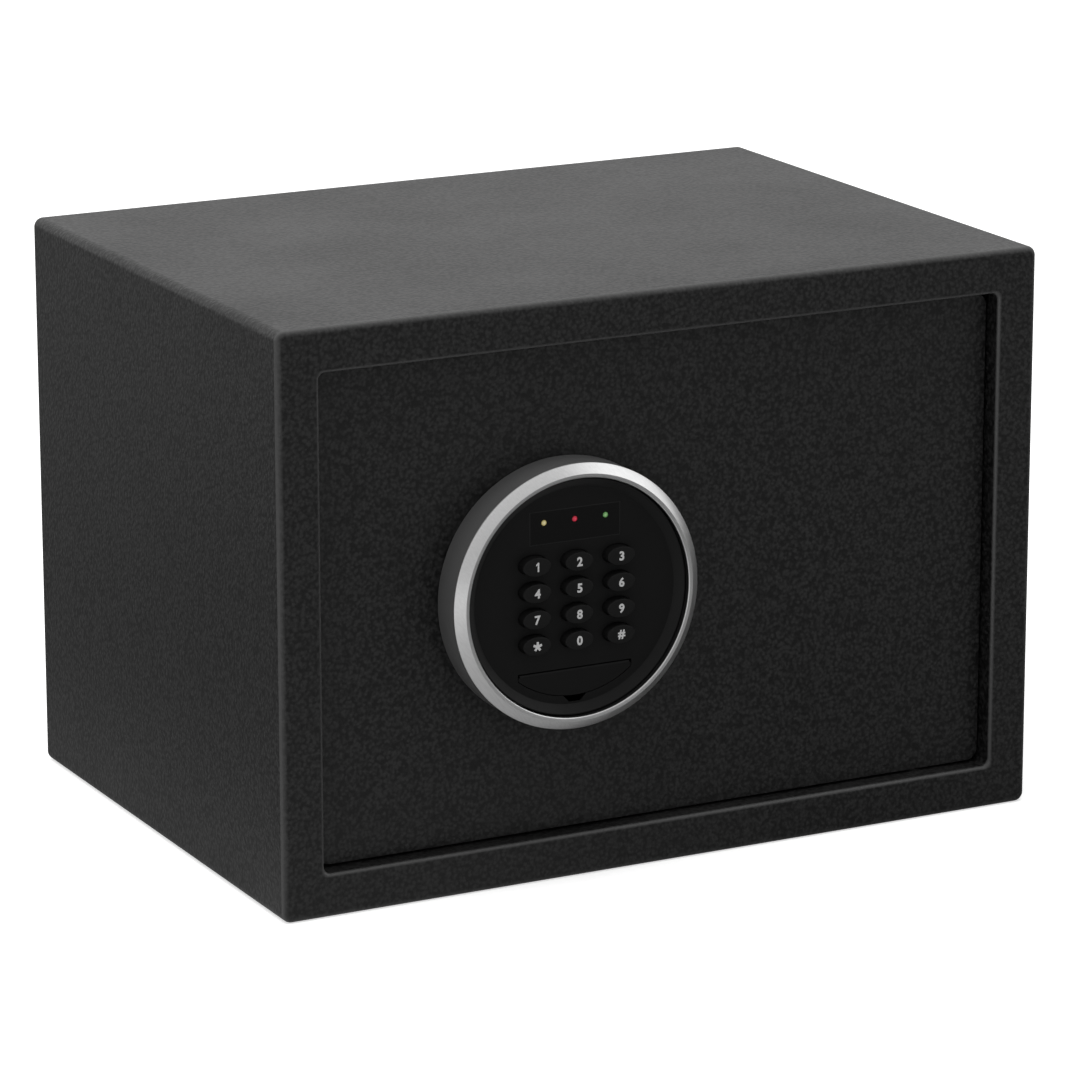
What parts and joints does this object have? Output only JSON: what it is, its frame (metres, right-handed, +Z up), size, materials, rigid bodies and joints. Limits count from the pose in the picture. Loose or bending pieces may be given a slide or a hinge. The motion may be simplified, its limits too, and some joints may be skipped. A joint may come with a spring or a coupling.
{
  "type": "electronic safe",
  "caption": "Compact steel safe: recessed right-hinged door, turning ring round a raised keypad that drives sliding bolts, key flap, inner cover and anchor holes.",
  "frame": {"origin": "centre of the body's underside", "axes": "+Z up, the door faces -Y, +X to the right seen from the front"},
  "size_m": [0.35, 0.261, 0.2435],
  "materials": {
    "textured_black": "textured powder coat, satin",
    "collar_plastic": "smooth matt",
    "ring_silver": "satin, brushed round",
    "panel_plastic": "satin",
    "key_rubber": "matt",
    "window_smoke": "gloss",
    "led_yellow": "lit",
    "led_red": "lit",
    "led_green": "lit",
    "zinc_steel": "zinc plated",
    "bright_steel": "polished",
    "cover_plastic": "fine grain",
    "board_green": "solder mask",
    "coil_copper": "lacquered wire",
    "battery_jacket": "gloss sleeve",
    "cable_grey": "matt",
    "lock_brass": "turned",
    "mat_felt": "felt",
    "reset_red": "gloss"
  },
  "bodies": {
    "body": {"body_shell": "textured_black", "back_panel": "textured_black", "hinge_blocks": "zinc_steel", "hinge_pins": "bright_steel", "door_stops": "textured_black", "floor_mat": "mat_felt"},
    "door": {"door_plate": "textured_black", "door_knuckles": "zinc_steel", "bolt_guide": "zinc_steel", "guide_studs": "bright_steel", "inner_cover": "cover_plastic", "cover_fixings": "bright_steel", "battery_box": "cover_plastic", "batteries": "battery_jacket", "control_board": "board_green", "solenoid_frame": "zinc_steel", "solenoid_coil": "coil_copper", "plunger_spring": "bright_steel", "keypad_housing": "panel_plastic", "keypad_face": "panel_plastic", "tube_nut": "zinc_steel", "keypad_board": "board_green", "key_mat": "key_rubber", "keypad_cable": "cable_grey", "led_window": "window_smoke", "led_yellow": "led_yellow", "led_red": "led_red", "led_green": "led_green", "lock_cylinder": "bright_steel", "lock_nut": "zinc_steel"},
    "turn_ring": {"turn_collar": "collar_plastic", "bezel_ring": "ring_silver", "drive_disc": "zinc_steel", "drive_stud": "bright_steel"},
    "bolt_work": {"bolt_carriage": "zinc_steel", "locking_bolts": "bright_steel"},
    "solenoid_plunger": {"plunger": "bright_steel"},
    "key_cam": {"lock_plug": "lock_brass", "cam_arm": "zinc_steel"},
    "flap": {"key_flap": "panel_plastic"},
    "battery_lid": {"battery_cover": "cover_plastic"},
    "reset": {"reset_button": "reset_red"},
    "key_1": {"key_1": "key_rubber"},
    "key_2": {"key_2": "key_rubber"},
    "key_3": {"key_3": "key_rubber"},
    "key_4": {"key_4": "key_rubber"},
    "key_5": {"key_5": "key_rubber"},
    "key_6": {"key_6": "key_rubber"},
    "key_7": {"key_7": "key_rubber"},
    "key_8": {"key_8": "key_rubber"},
    "key_9": {"key_9": "key_rubber"},
    "key_star": {"key_star": "key_rubber"},
    "key_0": {"key_0": "key_rubber"},
    "key_hash": {"key_hash": "key_rubber"}
  },
  "joints": [
    {"name": "door_swing", "type": "hinge", "parent": "body", "child": "door", "pos_m": [0.1273, -0.10945, 0.12175], "axis": [0, 0, 1], "range_deg": [0, 100]},
    {"name": "ring_turn", "type": "hinge", "parent": "door", "child": "turn_ring", "pos_m": [-0.0463, -0.11725, 0.122], "axis": [0, 1, 0], "range_deg": [-45, 0]},
    {"name": "bolt_throw", "type": "slide", "parent": "door", "child": "bolt_work", "axis": [1, 0, 0], "range_m": [-0.016, 0]},
    {"name": "plunger_lift", "type": "slide", "parent": "door", "child": "solenoid_plunger", "axis": [0, 0, -1], "range_m": [-0.006, 0], "deforming": ["plunger_spring"]},
    {"name": "key_turn", "type": "hinge", "parent": "door", "child": "key_cam", "pos_m": [-0.0463, -0.11725, 0.086], "axis": [0, 1, 0], "range_deg": [0, 90]},
    {"name": "flap_open", "type": "hinge", "parent": "door", "child": "flap", "pos_m": [-0.0463, -0.12955, 0.0904], "axis": [-1, 0, 0], "range_deg": [0, 90]},
    {"name": "battery_cover_lift", "type": "slide", "parent": "door", "child": "battery_lid", "axis": [0, 1, 0], "range_m": [0, 0.02]},
    {"name": "reset_press", "type": "slide", "parent": "door", "child": "reset", "axis": [0, -1, 0], "range_m": [0, 0.0015], "stiffness_N_per_m": 300},
    {"name": "key_1_press", "type": "slide", "parent": "door", "child": "key_1", "axis": [0, 1, 0], "range_m": [0, 0.001], "stiffness_N_per_m": 300},
    {"name": "key_2_press", "type": "slide", "parent": "door", "child": "key_2", "axis": [0, 1, 0], "range_m": [0, 0.001], "stiffness_N_per_m": 300},
    {"name": "key_3_press", "type": "slide", "parent": "door", "child": "key_3", "axis": [0, 1, 0], "range_m": [0, 0.001], "stiffness_N_per_m": 300},
    {"name": "key_4_press", "type": "slide", "parent": "door", "child": "key_4", "axis": [0, 1, 0], "range_m": [0, 0.001], "stiffness_N_per_m": 300},
    {"name": "key_5_press", "type": "slide", "parent": "door", "child": "key_5", "axis": [0, 1, 0], "range_m": [0, 0.001], "stiffness_N_per_m": 300},
    {"name": "key_6_press", "type": "slide", "parent": "door", "child": "key_6", "axis": [0, 1, 0], "range_m": [0, 0.001], "stiffness_N_per_m": 300},
    {"name": "key_7_press", "type": "slide", "parent": "door", "child": "key_7", "axis": [0, 1, 0], "range_m": [0, 0.001], "stiffness_N_per_m": 300},
    {"name": "key_8_press", "type": "slide", "parent": "door", "child": "key_8", "axis": [0, 1, 0], "range_m": [0, 0.001], "stiffness_N_per_m": 300},
    {"name": "key_9_press", "type": "slide", "parent": "door", "child": "key_9", "axis": [0, 1, 0], "range_m": [0, 0.001], "stiffness_N_per_m": 300},
    {"name": "key_star_press", "type": "slide", "parent": "door", "child": "key_star", "axis": [0, 1, 0], "range_m": [0, 0.001], "stiffness_N_per_m": 300},
    {"name": "key_0_press", "type": "slide", "parent": "door", "child": "key_0", "axis": [0, 1, 0], "range_m": [0, 0.001], "stiffness_N_per_m": 300},
    {"name": "key_hash_press", "type": "slide", "parent": "door", "child": "key_hash", "axis": [0, 1, 0], "range_m": [0, 0.001], "stiffness_N_per_m": 300}
  ],
  "couplings": [
    {"joint": "bolt_throw", "follows": "ring_turn", "m_per_rad": 0.020371}
  ]
}
